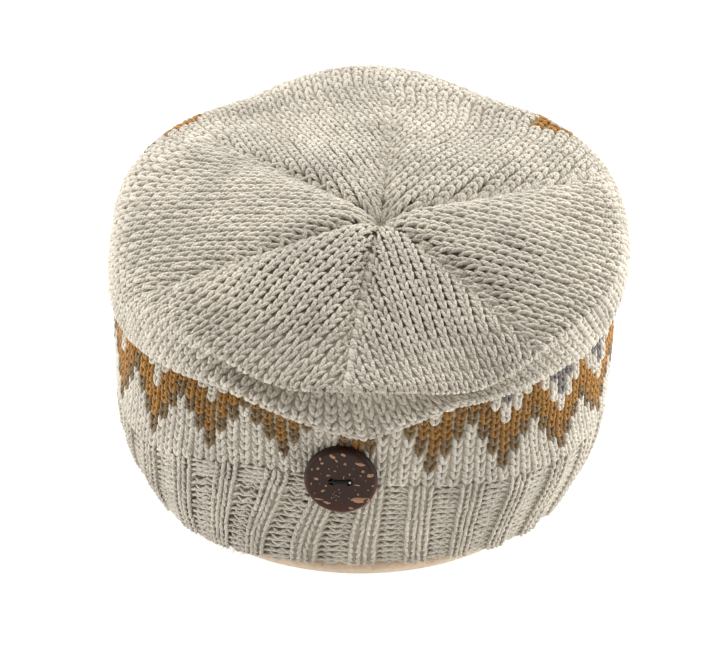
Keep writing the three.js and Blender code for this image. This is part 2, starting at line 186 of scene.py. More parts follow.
def rows_at(tab, az):
    """Fabric, radius and height of every row of a table at azimuths az."""
    cos = np.cos(HARMONICS[:, None] * np.radians(az)[None])
    t, r, z = tab["fabric"] @ cos, tab["radius"] @ cos, tab["height"] @ cos
    d = signed(az)
    flap = np.clip(np.minimum((d - FLAP["left"]) / (FLAP["tip"] - FLAP["left"]),
                              (FLAP["right"] - d) / (FLAP["right"] - FLAP["tip"])), 0, 1)
    for i, name in enumerate(tab["names"]):
        for at, half, push in PUSHES:
            t[i] += push.get(name, 0) * bell(signed(d - at), half)
        if name in FLAP_ROWS:
            r[i] += (FLAP_ROWS[name][0] - r[i]) * flap
            z[i] += (FLAP_ROWS[name][1] - z[i]) * flap
        for at, half, inwards, down, share in FORMS:
            g = bell(signed(d - at), half) * share.get(name, 0)
            r[i] -= inwards * g
            z[i] -= down * g
    return t, r, z


def point_on(tab, az, t):
    fabric, r, z = rows_at(tab, az)
    i = np.clip((fabric <= t[None]).sum(0) - 1, 0, len(fabric) - 2)
    j = np.arange(len(az))
    f = np.clip((t - fabric[i, j]) / (fabric[i + 1, j] - fabric[i, j]), 0, 1)
    radius, height = curve(r, i, f), curve(z, i, f)
    dx, dy = (curve(np.repeat(tab["shift"][:, k:k + 1], len(az), 1), i, f) for k in (0, 1))
    phi = np.radians(az)
    return np.stack([radius * np.sin(phi) + dx, -radius * np.cos(phi) + dy, height], -1)


def near_line(az, half):
    return np.max([bell(signed(az - line), half) for line in LINE_AZIMUTH], axis=0)


def valley(az, t):
    """How deep the knit lies in the soft valleys along the lines of decreases."""
    return 1.3 * near_line(az, 3.4) * smooth((t - 158) / 14) * smooth((CENTRE - t) / 30)


def puff(az, t):
    """The wedges of the crown stand a little proud between the lines of decreases."""
    return 2.1 * (1 - near_line(az, 9.0)) * smooth((t - 172) / 36) * smooth((CENTRE - t - 1) / 12)


def frame_on(tab, az, t):
    """Point and outward normal at azimuths and fabric distances, in millimetres."""
    shape = np.broadcast(az, t).shape
    a, q = (np.broadcast_to(v, shape).ravel().astype(float) for v in (az, t))
    p = point_on(tab, a, q)
    around = point_on(tab, a + 0.06, q) - point_on(tab, a - 0.06, q)
    up = point_on(tab, a, q + 0.2) - point_on(tab, a, q - 0.2)
    n = unit(np.cross(around, up))
    p = p - n * valley(a, q)[:, None]
    return p.reshape(*shape, 3), n.reshape(*shape, 3)


def turned(theta, t):
    """Azimuth at which a column of the fabric lies."""
    across = (theta - LINE_FABRIC[0]) % 360 / WEDGE_TURN
    i = np.floor(across).astype(int) % WEDGES
    moved = LINE_AZIMUTH - LINE_FABRIC
    warp = hermite(moved[(i - 1) % WEDGES], moved[i], moved[(i + 1) % WEDGES], moved[(i + 2) % WEDGES],
                   across - np.floor(across))
    front = bell(signed(theta), 32.0)
    pull = np.interp(t, [0, 100, 144, 166, 184, 208, 246], [0, 0, 9, 3, 1, 0, 0])
    # The ribs gather at the button and spread below it, and lean less to its left
    d = signed(theta + 3)
    low = smooth(t / RIB_TOP)
    fan = d * bell(d, 28.0) * (0.28 * (1 - low) - 0.12 * low) * smooth((62 - t) / 24)
    fan = fan + 3.2 * bell(signed(theta + 37), 15) * (1 - low)
    squeeze = np.interp(signed(theta), [-180, -60, 0, 30, 60, 100, 180], [0, 2.6, 0, -1.6, -4.5, -4.5, 0])
    squeeze = squeeze * smooth((t - 36) / 26) * (1 - smooth((t - 100) / 24))
    foot = FOOT_TURN * smooth((RIB_TOP - t) / RIB_TOP)
    return theta + squeeze + warp * smooth((t - 120) / 40) + foot + pull * front + fan


def fabric_place(wedge, column, rows):
    """Fabric azimuth and distance, from stitches off the wedge's middle and rows from the centre."""
    flat = np.minimum(rows, DECREASE_ROWS) * ROW
    across = column * STITCH
    reach = np.hypot(flat, across)
    angle = np.degrees(np.arctan2(across, flat))
    outside = smooth((rows - DECREASE_ROWS) / 10)
    angle = angle * (1 - outside) + column * STITCH_TURN * outside
    beyond = np.maximum(rows, DECREASE_ROWS) * ROW - DECREASE_ROWS * ROW
    reach = beyond + flat + (reach - flat) * (1 - outside)
    return LINE_FABRIC[wedge] + WEDGE_TURN / 2 + angle, CENTRE - reach


def stitch_width(wedge, column, rows, tab):
    r = np.maximum(rows - 0.5, 0.4)
    ends = []
    for side in (-0.5, 0.5):
        theta, t = fabric_place(wedge, column + side, r)
        ends.append(point_on(tab, turned(theta, t), t))
    return np.linalg.norm(ends[1] - ends[0], axis=-1)


# Meshes
def make_mesh(name, verts, loops, sizes, tint=None, uv=None):
    mesh = bpy.data.meshes.new(name)
    mesh.vertices.add(len(verts))
    mesh.vertices.foreach_set("co", np.ascontiguousarray(verts, np.float32).ravel())
    mesh.loops.add(len(loops))
    mesh.loops.foreach_set("vertex_index", loops.astype(np.int32))
    mesh.polygons.add(len(sizes))
    starts = np.concatenate([[0], np.cumsum(sizes)[:-1]])
    mesh.polygons.foreach_set("loop_start", starts.astype(np.int32))
    mesh.polygons.foreach_set("loop_total", np.asarray(sizes, np.int32))
    mesh.update(calc_edges=True)
    if tint is not None:
        set_tint(mesh, tint)
    if uv is not None:
        mesh.uv_layers.new(name="strand").data.foreach_set("uv", uv.astype(np.float32).ravel())
    mesh.polygons.foreach_set("use_smooth", np.ones(len(sizes), bool))
    mesh.validate()
    obj = bpy.data.objects.new(name, mesh)
    bpy.context.scene.collection.objects.link(obj)
    return obj


def set_tint(mesh, tint):
    layer = mesh.attributes.new("yarn", "FLOAT_COLOR", "POINT")
    layer.data.foreach_set("color", np.column_stack([tint, np.ones(len(tint))]).astype(np.float32).ravel())


def mesh_from_tubes(name, centre, side, lift, radius, colour, sides=6, flat=0.82):
    """Joined tubes. centre (m, k, 3), side and lift directions (m, k, 3), radius (m, k), colour (m, 3)."""
    m, k, _ = centre.shape
    turn = np.arange(sides) * 2 * np.pi / sides
    ring = (np.cos(turn)[None, None, :, None] * side[:, :, None]
            + flat * np.sin(turn)[None, None, :, None] * lift[:, :, None])
    v = (centre[:, :, None] + ring * radius[:, :, None, None]) * MM
    v = v - np.array([MIDDLE[0], MIDDLE[1], 0]) * MM
    i, j = np.meshgrid(np.arange(k - 1), np.arange(sides), indexing="ij")
    nxt = (j + 1) % sides
    quad = np.stack([i * sides + j, i * sides + nxt, (i + 1) * sides + nxt, (i + 1) * sides + j], -1)
    quad = quad.reshape(-1, 4)
    caps = np.stack([np.arange(sides)[::-1], (k - 1) * sides + np.arange(sides)])
    per = np.concatenate([quad.ravel(), caps.ravel()])
    loops = (np.arange(m)[:, None] * (k * sides) + per[None]).ravel()
    sizes = np.tile(np.array([4] * len(quad) + [sides] * 2), m)
    # One turn of u round the tube, and v along it in centimetres
    lengths = np.linalg.norm(np.diff(centre, axis=1), axis=-1)
    along = np.concatenate([np.zeros((m, 1)), np.cumsum(lengths, 1)], 1)
    u = np.tile(np.stack([j, j + 1, j + 1, j], -1).reshape(-1) / sides, (m, 1))
    row = np.stack([i, i, i + 1, i + 1], -1).reshape(-1)
    caps_uv = np.zeros((m, 2 * sides))
    uv = np.stack([np.concatenate([u, caps_uv], 1), np.concatenate([along[:, row], caps_uv], 1) * 0.1], -1)
    tint = np.repeat(colour[:, None], k * sides, 1).reshape(-1, 3)
    return make_mesh(name, v.reshape(-1, 3), loops, sizes, tint, uv.reshape(-1, 2))


def yarn_tubes(name, p, n, radius, tone):
    """Tubes of yarn, p and n (stitches, legs, points, 3), with one tone for all the legs of a stitch."""
    stitches, legs, k, _ = p.shape
    m = stitches * legs
    colour = np.repeat(tone[:, None], legs, 1).reshape(m, 3)
    p, n, radius = p.reshape(m, k, 3), n.reshape(m, k, 3), radius.reshape(m, k)
    tangent = unit(np.gradient(p, axis=1))
    side = unit(np.cross(tangent, n))
    lift = np.cross(side, tangent)
    # With the side turned round, side x lift runs along the tube and the faces point out
    return mesh_from_tubes(name, p, -side, lift, radius, colour)


def loose_tubes(name, p, n, radius, tone, sides):
    """Round tubes in any direction, with normals that only roughly stand across them."""
    tangent = unit(np.gradient(p, axis=1))
    side = unit(np.cross(tangent, n + [0.013, 0.007, 0.011]))
    return mesh_from_tubes(name, p, -side, np.cross(side, tangent), radius, tone, sides=sides, flat=1.0)


def grid_mesh(name, points):
    """Closed ring of sections (columns, rows, 3) in millimetres, as one smooth torus-like mesh."""
    n, m, _ = points.shape
    i, j = np.meshgrid(np.arange(n), np.arange(m), indexing="ij")
    quads = np.stack([i * m + j, (i + 1) % n * m + j, (i + 1) % n * m + (j + 1) % m, i * m + (j + 1) % m], -1)
    v = (points.reshape(-1, 3) - [MIDDLE[0], MIDDLE[1], 0]) * MM
    return make_mesh(name, v, quads.reshape(-1), np.full(n * m, 4))


# Colours
def linear(rgb):
    c = np.asarray(rgb, float) / 255
    return np.where(c <= 0.04045, c / 12.92, ((c + 0.055) / 1.055) ** 2.4)


OATMEAL = linear((202, 194, 179))
GOLD = linear((162, 110, 16))
TAUPE = linear((110, 86, 48))
CHARCOAL = linear((112, 107, 105))
PALETTE = np.array([OATMEAL, TAUPE, GOLD, CHARCOAL])
IS_OATMEAL, IS_TAUPE, IS_GOLD, IS_CHARCOAL = range(4)


def chart_colour(row, d):
    """Place in the palette at a row of the chart and d columns from a tip of the zigzag."""
    r = np.minimum(row, CHART_ROWS + 1 - row)
    kind = np.zeros(np.broadcast(row, d).shape, int)
    kind = np.where((r >= 1 + 2 * d) & (r <= 2 + 2 * d), IS_TAUPE, kind)
    kind = np.where((r >= 3 + 2 * d) & (r <= 6 + 2 * d), IS_GOLD, kind)
    half = np.select([r >= 14, r >= 12, r >= 10], [2, 1, 0], -1)
    return np.where(d <= half, IS_CHARCOAL, kind)


def variation(count):
    return RNG.uniform(0.89, 1.08, (count, 1))


def stitch_colour(theta, where, rows):
    """Colour of every stitch: the zigzag over columns and rows, its gold heathered with taupe, and in front
    darker with more taupe as painted shade.
    """
    index = np.round((theta + STITCH_TURN / 2) / STITCH_TURN).astype(int)
    d = np.abs((index + 3) % 6 - 3)
    # The band rides up onto the edge at the two back corners
    ride = 9 * bell(signed(where + 133), 6) + 8 * bell(signed(where - 131), 7)
    chart_row = CHART_START - rows - np.round(ride * ((rows < PLAIN_ROWS) & (rows > CORNER_ROWS)))
    kind = np.where((chart_row >= 1) & (chart_row <= CHART_ROWS), chart_colour(chart_row, d), IS_OATMEAL)
    corner = (np.abs(signed(where + 132.5)) < 6) | (np.abs(signed(where - 132)) < 6)
    kind = np.where(rows < PLAIN_ROWS, np.where(corner & (kind > 0), IS_GOLD, IS_OATMEAL), kind)
    colour = PALETTE[kind]
    # Painted shade: in front the gold gets more taupe and is darkened, standing for the shade under the
    # crown's edge and the flap.
    blend = RNG.uniform(0, 1, len(kind)) * (0.1 + 0.25 * bell(signed(where), 50, 4))
    front = bell(signed(where - 5), 50, 4)[:, None]
    gold_in_painted_shade = (colour + (TAUPE - GOLD) * blend[:, None]) * (1 - 0.27 * front)
    return np.where((kind == IS_GOLD)[:, None], gold_in_painted_shade, colour) * variation(len(kind))


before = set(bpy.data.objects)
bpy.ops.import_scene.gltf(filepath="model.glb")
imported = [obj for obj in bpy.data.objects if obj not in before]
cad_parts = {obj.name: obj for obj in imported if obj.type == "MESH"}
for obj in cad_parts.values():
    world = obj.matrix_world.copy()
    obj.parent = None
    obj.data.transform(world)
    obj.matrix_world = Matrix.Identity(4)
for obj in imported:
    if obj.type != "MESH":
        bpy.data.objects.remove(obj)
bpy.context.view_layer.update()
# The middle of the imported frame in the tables' own places, from where the button's box lies
button_low, button_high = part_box("button")
button_angle = math.radians(BUTTON["azimuth"])
button_core = BUTTON["back"] + BUTTON["thickness"] / 2
MIDDLE = (button_core * math.sin(button_angle) - (button_low[0] + button_high[0]) / 2 / MM,
          -button_core * math.cos(button_angle) - (button_low[1] + button_high[1]) / 2 / MM)

strands = []
knit_pieces = []

# Lengths of yarn: across in stitch widths, up in rows, out and radius in millimetres
LEG = np.array([
    (0.02, -0.42, -0.75, 0.52),
    (0.10, -0.02, 0.10, 0.76),
    (0.225, 0.42, 0.40, 0.88),
    (0.36, 0.86, 0.12, 0.82),
    (0.44, 1.28, -0.80, 0.52),
])
RIB_LEG = np.array([
    (0.15, -0.52, -0.70, 0.42),
    (0.20, -0.08, 0.12, 0.58),
    (0.27, 0.40, 0.45, 0.68),
    (0.33, 0.88, 0.12, 0.62),
    (0.37, 1.34, -0.75, 0.42),
])
RIB_BAR = np.array([
    (-0.72, -0.26, -0.70, 0.50),
    (-0.36, 0.04, 0.05, 0.64),
    (0.00, 0.26, 0.34, 0.70),
    (0.36, 0.04, 0.05, 0.64),
    (0.72, -0.26, -0.70, 0.50),
])
# Here across counts from the line of decreases, and up runs outwards
DECREASE_LEG = np.array([
    (0.62, 0.95, -0.75, 0.62),
    (0.42, 0.48, 0.45, 0.92),
    (0.18, -0.06, 0.95, 1.02),
    (-0.04, -0.58, 0.45, 0.90),
    (-0.14, -1.05, -0.75, 0.58),
])


def two_legs(leg, spread):
    return np.stack([leg * [-spread, 1, 1, 1], leg * [spread, 1, 1, 1]])


def add_stitches(name, p, n, radius, tone):
    strands.append((p, n, tone))
    knit_pieces.append(yarn_tubes(name, p, n, radius, tone))


def knit(name, wedge, column, rows, tab, colour, spread):
    """Two legs for each stitch. rows counts from the centre to the stitch's foot."""
    count = len(column)
    path = two_legs(LEG, spread)[None]
    # The stitches that reach past a line of decreases lie on top there
    beyond = -column * STITCH - (rows - 1.2) * ROW * LINE_SLOPE
    raised = np.where((rows <= DECREASE_ROWS) & (beyond > 0), 0.2, 0)[:, None, None]
    across = column[:, None, None] + path[..., 0]
    up = rows[:, None, None] - path[..., 1]
    jitter = RNG.normal(0, 0.032, (2, count, 2, 1))
    # Each column wavers slowly from row to row
    jitter[0] += (0.05 * np.sin(rows * 0.8 + column * 5.3 + wedge))[:, None, None]
    theta, t = fabric_place(np.broadcast_to(wedge[:, None, None], across.shape), across + jitter[0],
                            np.maximum(up + jitter[1], 0.02))
    az = turned(theta, t)
    p, n = frame_on(tab, az, t)
    scale = np.clip(stitch_width(wedge, column, rows, tab) / STITCH_FULL, 0.62, 1.12)[:, None, None]
    # Thicker yarn and a softer relief towards the sides and the back
    aside = away_from_front(az, 40, 50)
    relief = scale * (1 - 0.25 * aside)
    p = p + n * (path[..., 2] * relief + raised + puff(az, t) + RNG.normal(0, 0.05, (count, 2, 1)))[..., None]
    radius = np.broadcast_to(path[..., 3] * scale, p.shape[:3]) * RNG.uniform(0.94, 1.06, (count, 2, 1))
    add_stitches(name, p, n, radius * (1 + 0.12 * aside), colour)


def wall_and_crown():
    """All the stitches above the ribs."""
    columns = np.arange(-HALF_WEDGE, HALF_WEDGE) + 0.5
    wedge, column, rows = (v.ravel() for v in np.meshgrid(
        np.arange(WEDGES), columns, np.arange(1, KNIT_ROWS + 1), indexing="ij"))
    # Near the centre the columns end at the lines of decreases, on the left a little past them
    reach = (rows - 0.45) * ROW * LINE_SLOPE
    inside = (rows > DECREASE_ROWS) | ((column * STITCH <= reach + 0.3) & (-column * STITCH <= reach + 0.9))
    inside &= rows > 1
    wedge, column, rows = wedge[inside], column[inside], rows[inside].astype(float)
    theta, t = fabric_place(wedge, column, rows - 0.5)
    where = turned(theta, t)
    colour = stitch_colour(theta, where, rows)
    on_wall = t < rows_at(WALL_TABLE, where)[0][-1]
    on_crown = t >= rows_at(CROWN_TABLE, where)[0][0] - 0.6
    for name, mask, tab, spread in (
            ("wall_knit_low", on_wall & (rows >= LOW_ROWS), WALL_TABLE, 0.86),
            ("wall_knit_high", on_wall & (rows < LOW_ROWS), WALL_TABLE, 0.86),
            ("crown_knit_side", on_crown & (rows > DECREASE_ROWS), CROWN_TABLE, 0.88),
            ("crown_knit_top", on_crown & (rows <= DECREASE_ROWS), CROWN_TABLE, 0.88)):
        knit(name, wedge[mask], column[mask], rows[mask], tab, colour[mask], spread)


def decrease_lines():
    """A chain of slanting legs laid over the ends of the columns."""
    wedge, row = (x.ravel() for x in np.meshgrid(np.arange(WEDGES), np.arange(2, DECREASE_ROWS + 1) - 0.5,
                                                 indexing="ij"))
    leg = DECREASE_LEG[None, None]
    up = np.maximum(row[:, None, None] + leg[..., 1] + RNG.normal(0, 0.05, (len(row), 1, 1)), 0.1)
    across = leg[..., 0] + RNG.normal(0, 0.04, (len(row), 1, 1)) - up * ROW * LINE_SLOPE / STITCH
    theta, t = fabric_place(np.broadcast_to(wedge[:, None, None], across.shape), across, up)
    az = turned(theta, t)
    p, n = frame_on(CROWN_TABLE, az, t)
    scale = np.clip(row / 6, 0.6, 1)[:, None, None]
    p = p + n * (leg[..., 2] * scale + puff(az, t))[..., None]
    radius = np.broadcast_to(leg[..., 3] * scale, p.shape[:3])
    knit_pieces.append(yarn_tubes("decrease_lines", p, n, radius, OATMEAL[None] * variation(len(row))))


def rib_frame(theta, row, out):
    t = row * RIB_TOP / RIB_ROWS
    p, n = frame_on(WALL_TABLE, turned(theta, t), t)
    return p + n * out[..., None], n


def rib_stitches(name, theta, row, path, stand, rough, even, top, shade):
    """One kind of stitch of the ribs: rough is how much it strays, even how little its thickness varies."""
    shake = RNG.normal(0, rough, (2, len(row), 2, 1))
    p, n = rib_frame(theta[:, None, None] + STITCH_TURN * (path[None, ..., 0] + shake[0]),
                     np.clip(row[:, None, None] + path[None, ..., 1] + shake[1], 0.02, top),
                     path[None, ..., 2] + stand[:, None, None])
    radius = np.broadcast_to(path[None, ..., 3], p.shape[:3]) * RNG.uniform(even, 2 - even, (len(row), 2, 1))
    add_stitches(name, p, n, radius, OATMEAL[None] * variation(len(row)) * shade)


def ribs():
    """Two knit and two purl columns in turn."""
    column, row = (x.ravel() for x in np.meshgrid(np.arange(RIB_COLUMNS), np.arange(RIB_ROWS), indexing="ij"))
    theta = -STITCH_TURN / 2 + STITCH_TURN * column
    purl = (column % 4 == 0) | (column % 4 == 3)
    aside = away_from_front(theta, 45, 25)
    rib_stitches("rib_knit", theta[~purl], row[~purl], two_legs(RIB_LEG, 1), (0.75 - 0.35 * aside)[~purl],
                 0.03, 0.94, RIB_ROWS + 0.2, 1)
    # The bars stand higher to the left of the button, where the ribs lean away from the flutes of the solid
    stand = -0.55 + np.maximum(bell(signed(theta + 30), 26, 4), 0.25 * aside)
    bars = np.stack([RIB_BAR + [0, 0.62, 0, 0], RIB_BAR * [1, -1, 1, 1] + [0.5, 0.22, 0, 0]])
    rib_stitches("rib_purl", theta[purl], row[purl], bars, stand[purl], 0.05, 0.93, RIB_ROWS, 0.97)


def fuzz(count):
    """Loose wool fibres that stand off the yarn."""
    shares = np.array([len(p) for p, _, _ in strands], float)
    centres, normals, tints = [], [], []
    for (p, n, tone), number in zip(strands, (count * shares / shares.sum()).astype(int)):
        stitch, leg, at = (RNG.integers(low, high, number) for low, high in ((0, len(p)), (0, 2), (1, 4)))
        start, out = p[stitch, leg, at], n[stitch, leg, at]
        heading = unit(unit(RNG.normal(0, 1, (number, 3))) + out * 0.45)
        bend = RNG.normal(0, 0.35, (number, 3)) + out * 0.1
        length = RNG.uniform(1.2, 2.8, (number, 1))
        s = np.linspace(0, 1, 4)[None, :, None]
        reach = (heading[:, None] * s + bend[:, None] * s * s) * length[:, None]
        fibre = start[:, None] + out[:, None] * 0.55 + reach
        fibre[..., 2] = np.maximum(fibre[..., 2], 0.4)
        centres.append(fibre)
        normals.append(np.repeat(out[:, None], 4, 1))
        tints.append(tone[stitch] * 1.12)
    p = np.concatenate(centres)
    radius = np.broadcast_to(np.array([0.07, 0.06, 0.05, 0.03]), p.shape[:2])
    knit_pieces.append(loose_tubes("wool_fuzz", p, np.concatenate(normals), radius, np.concatenate(tints), 3))


wall_and_crown()
decrease_lines()
ribs()
fuzz(count=6500)


# Materials
class Socket:
    """Shader socket with ordinary arithmetic."""

    def __init__(self, tree, socket):
        self.tree, self.socket = tree, socket

    def op(self, operation, *others):
        made = self.tree.nodes.new("ShaderNodeMath")
        made.operation = operation
        for slot, value in zip(made.inputs, (self, *others)):
            if isinstance(value, Socket):
                self.tree.links.new(value.socket, slot)
            else:
                slot.default_value = value
        return Socket(self.tree, made.outputs[0])

    def __add__(self, other):
        return self.op("ADD", other)

    def __mul__(self, other):
        return self.op("MULTIPLY", other)

    __radd__, __rmul__ = __add__, __mul__


def node(tree, kind, inputs=None, **settings):
    made = tree.nodes.new(kind)
    for key, value in settings.items():
        setattr(made, key, value)
    for key, value in (inputs or {}).items():
        if isinstance(value, Socket):
            tree.links.new(value.socket, made.inputs[key])
        else:
            made.inputs[key].default_value = value
    return made


def out_of(made, key=0):
    return Socket(made.id_data, made.outputs[key])


def material(name, roughness, specular, sheen=0.0):
    mat = bpy.data.materials.new(name)
    mat.use_nodes = True
    tree = mat.node_tree
    shader = tree.nodes["Principled BSDF"]
    shader.inputs["Roughness"].default_value = roughness
    shader.inputs["Specular IOR Level"].default_value = specular
    shader.inputs["Sheen Weight"].default_value = sheen
    return mat, tree, shader


def plain_material(name, rgb, roughness, specular):
    mat, _, shader = material(name, roughness, specular)
    shader.inputs["Base Color"].default_value = (*linear(rgb), 1)
    return mat


def object_place(tree):
    return out_of(node(tree, "ShaderNodeTexCoord"), "Object")


def own_colour(tree):
    """The colour that the piece's mesh holds."""
    return out_of(node(tree, "ShaderNodeAttribute", attribute_name="yarn"), "Color")


def noise(tree, vector, scale, detail, roughness=0.5):
    made = node(tree, "ShaderNodeTexNoise",
                {"Vector": vector, "Scale": scale, "Detail": detail, "Roughness": roughness})
    return out_of(made, "Fac")


def tint_base(tree, shader, colour, tone):
    """The base colour is a colour made lighter and darker by a grey tone."""
    grey = out_of(node(tree, "ShaderNodeCombineColor", {"Red": tone, "Green": tone, "Blue": tone}))
    made = node(tree, "ShaderNodeMix", data_type="RGBA", blend_type="MULTIPLY")
    for index, value in ((0, 1.0), (6, colour), (7, grey)):
        if isinstance(value, Socket):
            tree.links.new(value.socket, made.inputs[index])
        else:
            made.inputs[index].default_value = value
    tree.links.new(made.outputs[2], shader.inputs["Base Color"])


def add_bump(tree, shader, height, strength, distance):
    bump = node(tree, "ShaderNodeBump", {"Height": height, "Strength": strength, "Distance": distance})
    tree.links.new(bump.outputs["Normal"], shader.inputs["Normal"])


def wool_material():
    """Heathered two-ply yarn: its colour comes from the piece's own attribute."""
    mat, tree, shader = material("wool", 0.92, 0.15, 0.25)
    shader.inputs["Sheen Roughness"].default_value = 0.6
    place = object_place(tree)
    heather = noise(tree, place, 900.0, 3.0, 0.6)
    cloud = noise(tree, place, 36.0, 2.5)
    tint_base(tree, shader, own_colour(tree), heather * 0.56 + cloud * 0.66 + 0.4)
    # The plies turn once in 2.6 mm along the strand
    strand = out_of(node(tree, "ShaderNodeUVMap", uv_map="strand"))
    parts = node(tree, "ShaderNodeSeparateXYZ", {"Vector": strand})
    turn = out_of(parts, "X") * (2 * math.pi) + out_of(parts, "Y") * (10 * 2 * math.pi / 2.6)
    ply = (turn * 2.0).op("SINE")
    fibre = noise(tree, place, 1500.0, 2.0, 0.7)
    add_bump(tree, shader, ply * 0.6 + fibre * 1.3, 0.42, 0.0004)
    return mat


def fleece_material():
    mat, tree, shader = material("fleece", 1.0, 0.05, 0.6)
    place = object_place(tree)
    tuft = noise(tree, place, 420.0, 4.0, 0.7)
    tone = tuft * 0.5 + noise(tree, place, 90.0, 2.0) * 0.3 + 0.6
    tint_base(tree, shader, (*linear((230, 205, 176)), 1), tone)
    add_bump(tree, shader, tuft, 0.8, 0.0012)
    return mat


def shell_material():
    """Polished coconut shell: dark brown with fine darker and redder specks."""
    mat, tree, shader = material("coconut_shell", 0.5, 0.18)
    grain = noise(tree, object_place(tree), 700.0, 4.0, 0.7)
    tint_base(tree, shader, own_colour(tree), grain * 1.1 + 0.45)
    tree.links.new((grain * 0.3 + 0.4).socket, shader.inputs["Roughness"])
    add_bump(tree, shader, grain, 0.3, 0.0002)
    return mat


# The lining, the button and its thread
def lining_piece():
    az = np.arange(360) * 1.0
    phi = np.radians(az)
    cos = np.cos(HARMONICS[:, None] * phi[None])
    out = np.stack([np.sin(phi), -np.cos(phi), 0 * phi], -1)
    ring = []
    for radius, height in LINING:
        p = out * (radius @ cos)[:, None]
        p[:, 0] += WALL_TABLE["shift"][0, 0]
        p[:, 2] = height @ cos
        ring.append(p)
    # Up behind the ribs, and down again on the inner side
    inner = LINING_DEPTH + LINING_THICKNESS
    for depth, stations in ((LINING_DEPTH, (0, 3, 6, 10, 14, 18, 21)), (inner, (21, 17, 13, 9, 6))):
        for t in stations:
            p, n = frame_on(WALL_TABLE, az, float(t))
            ring.append(p - n * depth)
    ring.append(ring[0] - out * LINING_THICKNESS)
    points = np.stack(ring, 1)
    wobble = RNG.normal(0, 0.16, points.shape[:2])
    wobble = (wobble + np.roll(wobble, 1, 0) + np.roll(wobble, -1, 0)) / 1.7
    wobble[:, [0, -1]] = 0
    points[..., :2] += out[:, None, :2] * wobble[..., None]
    return grid_mesh("lining_fleece", points)


def button_axes():
    """The button's right, up and out directions and the middle of its back; it leans back a little."""
    a, lean = math.radians(BUTTON["azimuth"]), math.radians(BUTTON["lean"])
    right = np.array([math.cos(a), math.sin(a), 0])
    flat = np.array([math.sin(a), -math.cos(a), 0])
    upright = np.array([0, 0, 1.0])
    out = flat * math.cos(lean) + upright * math.sin(lean)
    up = upright * math.cos(lean) - flat * math.sin(lean)
    return right, up, out, flat * (BUTTON["back"] + BUTTON["stand"]) + upright * BUTTON["height"]


def to_button(local):
    """Points of the button's own frame (x right, y up, z outwards from its back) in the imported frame."""
    right, up, out, centre = button_axes()
    local = np.asarray(local, float)
    p = centre + local[:, :1] * right + local[:, 1:2] * up + local[:, 2:] * out
    return (p - [MIDDLE[0], MIDDLE[1], 0]) * MM


def from_button(points):
    """The way back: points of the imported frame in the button's own frame."""
    right, up, out, centre = button_axes()
    p = points / MM + [MIDDLE[0], MIDDLE[1], 0] - centre
    return np.stack([p @ right, p @ up, p @ out], -1)


def disc(name, rings, sides, shift=0.0, colours=None):
    """A turned piece: rings are (radius, z) from the back's middle to the face's middle."""
    turn = np.arange(sides) * 2 * np.pi / sides
    v = [[0, 0, rings[0][1]]]
    for radius, z in rings[1:-1]:
        v += [[radius * math.cos(a), radius * math.sin(a), z] for a in turn]
    v.append([0, 0, rings[-1][1]])
    faces = []
    last = 1 + (len(rings) - 3) * sides
    for j in range(sides):
        k = (j + 1) % sides
        faces.append((0, 1 + k, 1 + j))
        for i in range(len(rings) - 3):
            low, high = 1 + i * sides, 1 + (i + 1) * sides
            faces.append((low + j, low + k, high + k, high + j))
        faces.append((last + j, last + k, len(v) - 1))
    tint = None if colours is None else np.array([colours(x, y) for x, y, _ in v])
    loops = np.array([i for f in faces for i in f])
    return make_mesh(name, to_button(np.array(v) + [shift, 0, 0]), loops, [len(f) for f in faces], tint)


def shell_colour(x, y):
    """Dark brown, redder round the lower edge and darker round the upper edge."""
    radius = BUTTON["radius"]
    reach = math.hypot(x, y) / radius
    reddish = smooth((reach - 0.8) / 0.2) * (0.75 if y < 0 else 0.25)
    reddish = reddish + smooth((-y / radius - 0.55) / 0.4) * 0.35
    dark = smooth((reach - 0.86) / 0.14) * (1 if y > 3 else 0)
    base = linear((55, 39, 33)) * (1 - reddish) + linear((78, 44, 27)) * reddish
    return base * (1 - 0.55 * dark)


def button_piece():
    radius, thick = BUTTON["radius"], BUTTON["thickness"]
    edge, face = 1.5, thick - 0.05
    arc = [(math.cos(x), math.sin(x)) for x in np.radians([-90, -66, -42, -20, 0, 20, 42, 66, 90])]
    rings = [(0, 0.0), (6, 0.0)] + [(radius - edge + edge * c, thick / 2 + thick / 2 * s) for c, s in arc]
    piece = disc("button_shell", rings + [(7, face), (0, face)], 96, colours=shell_colour)
    cutters = []
    for side in (-1, 1):
        hole = disc("hole", [(0, -2), (HOLE_RADIUS, -2), (HOLE_RADIUS, thick + 2), (0, thick + 2)], 32,
                    side * HOLE_OFFSET)
        cut = piece.modifiers.new("hole", "BOOLEAN")
        cut.operation = "DIFFERENCE"
        cut.object = hole
        cutters.append(hole)
    shape = bpy.data.meshes.new_from_object(piece.evaluated_get(bpy.context.evaluated_depsgraph_get()))
    piece.modifiers.clear()
    piece.data = shape
    for hole in cutters:
        bpy.data.objects.remove(hole)
    # The holes are darker inside: painted shade in the holes
    co = np.zeros(len(shape.vertices) * 3, np.float32)
    shape.vertices.foreach_get("co", co)
    local = from_button(co.reshape(-1, 3))
    near = np.min([np.hypot(local[:, 0] - s * HOLE_OFFSET, local[:, 1]) for s in (-1, 1)], axis=0)
    shaded_hole = (near < HOLE_RADIUS + 0.05) & (local[:, 2] < thick - 0.4)
    shape.attributes.remove(shape.attributes["yarn"])
    set_tint(shape, np.array([shell_colour(x, y) for x, y, _ in local]) * np.where(shaded_hole, 0.4, 1)[:, None])
    # The face and the back are shaded flat, the edge and the holes smooth
    axis = Vector(button_axes()[2])
    for polygon in shape.polygons:
        polygon.use_smooth = abs(polygon.normal.dot(axis)) < 0.99
    return piece


